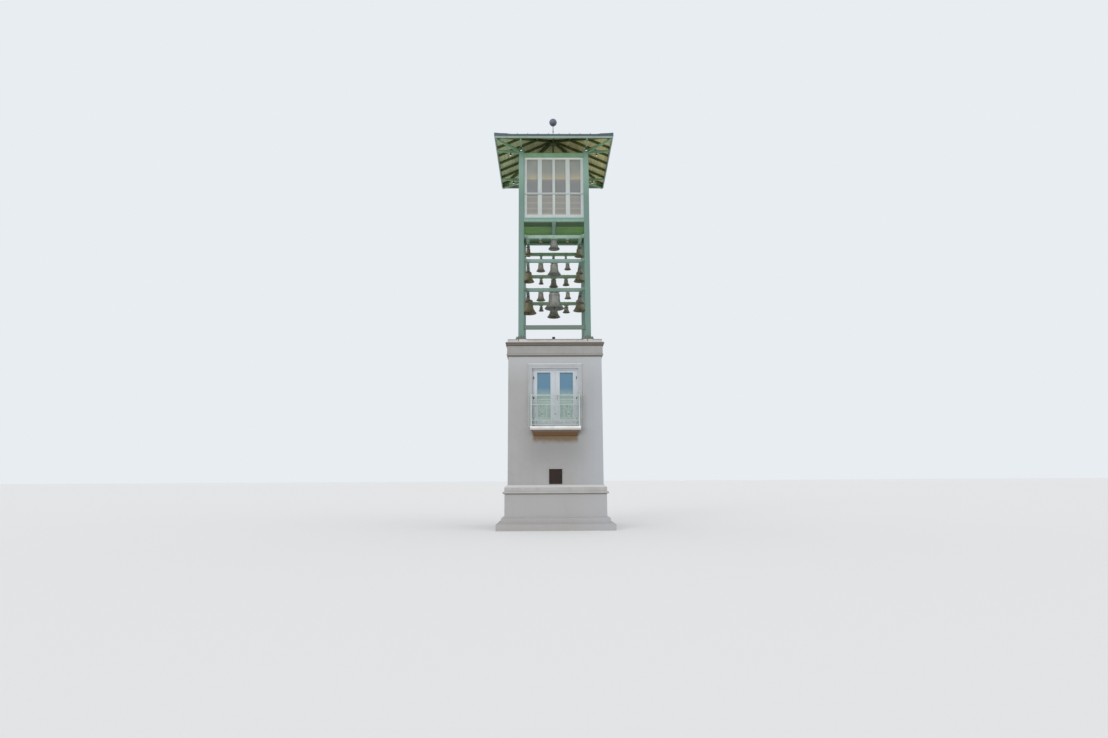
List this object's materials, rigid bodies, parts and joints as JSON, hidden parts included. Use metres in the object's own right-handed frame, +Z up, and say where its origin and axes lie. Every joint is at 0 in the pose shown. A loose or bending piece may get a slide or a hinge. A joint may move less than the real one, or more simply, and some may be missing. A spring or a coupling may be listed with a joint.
{
  "type": "carillon bell tower",
  "caption": "Square stucco tower base with a balcony, an open steel belfry with rings of bronze bells, a glazed box above and a hipped roof with a ball finial",
  "frame": {"origin": "on the ground under the middle of the tower", "axes": "+Z up, front (balcony and door) towards -Y, +X to the right as seen from the front"},
  "size_m": [4.552, 4.552, 16.6818],
  "materials": {
    "stucco": "painted stucco over masonry, matte",
    "pale_trim": "painted stucco mouldings and slab, matte",
    "floor": "floor boards, matte",
    "green_paint": "grey-green paint on steel, satin",
    "railing_paint": "pale green paint on steel, satin",
    "bronze": "weathered bronze, dull",
    "clapper_iron": "dark iron, dull",
    "white_paint": "white paint, satin",
    "door_glass": "clear glass",
    "tinted_panes": "grey translucent panes",
    "ceiling_paint": "leaf-green paint, satin",
    "louvre_paint": "pale paint, matte",
    "roof_timber": "painted boards and rafters, matte",
    "fascia_paint": "painted board, satin",
    "roof_metal": "dark slate sheet metal, satin",
    "finial_metal": "weathered metal, matte",
    "plaque": "dark bare plaque, satin"
  },
  "bodies": {
    "tower": {"plinth": "stucco", "plinth_cap": "pale_trim", "front_wall": "stucco", "back_wall": "stucco", "left_wall": "stucco", "right_wall": "stucco", "frieze": "stucco", "cornice": "pale_trim", "roof_deck": "pale_trim", "upper_floor": "floor", "door_surround": "pale_trim", "door_frame": "white_paint", "door_leaves": "white_paint", "door_glass": "door_glass", "balcony_slab": "pale_trim", "balcony_railing": "railing_paint", "plaque": "plaque", "front_left_post": "green_paint", "front_right_post": "green_paint", "back_left_post": "green_paint", "back_right_post": "green_paint", "base_rails": "green_paint", "bottom_ring": "green_paint", "middle_ring": "green_paint", "top_ring": "green_paint", "bottom_front_bell": "bronze", "bottom_right_bell": "bronze", "bottom_back_bell": "bronze", "bottom_left_bell": "bronze", "middle_front_bell": "bronze", "middle_right_bell": "bronze", "middle_back_bell": "bronze", "middle_left_bell": "bronze", "top_front_bell": "bronze", "top_right_bell": "bronze", "top_back_bell": "bronze", "top_left_bell": "bronze", "bottom_small_bells": "bronze", "middle_small_bells": "bronze", "top_small_bells": "bronze", "sill_frame": "green_paint", "belfry_ceiling": "ceiling_paint", "head_frame": "green_paint", "glazing_frames": "white_paint", "glazing_panes": "tinted_panes", "louvres": "louvre_paint", "rafters": "roof_timber", "roof_deck_boards": "roof_timber", "fascia": "fascia_paint", "roof_covering": "roof_metal", "drip_edge": "roof_metal", "hip_caps": "roof_metal", "finial": "finial_metal"},
    "front_clapper_body": {"front_clapper": "clapper_iron"},
    "right_clapper_body": {"right_clapper": "clapper_iron"},
    "back_clapper_body": {"back_clapper": "clapper_iron"},
    "left_clapper_body": {"left_clapper": "clapper_iron"}
  },
  "joints": [
    {"name": "front_clapper_swing", "type": "hinge", "parent": "tower", "child": "front_clapper_body", "pos_m": [0, -1.03, 8.757], "axis": [1, 0, 0], "range_deg": [-22, 22]},
    {"name": "right_clapper_swing", "type": "hinge", "parent": "tower", "child": "right_clapper_body", "pos_m": [1.03, 0, 8.7835], "axis": [0, 1, 0], "range_deg": [-22, 22]},
    {"name": "back_clapper_swing", "type": "hinge", "parent": "tower", "child": "back_clapper_body", "pos_m": [0, 1.03, 8.7825], "axis": [-1, 0, 0], "range_deg": [-22, 22]},
    {"name": "left_clapper_swing", "type": "hinge", "parent": "tower", "child": "left_clapper_body", "pos_m": [-1.03, 0, 8.76825], "axis": [0, -1, 0], "range_deg": [-22, 22]}
  ]
}
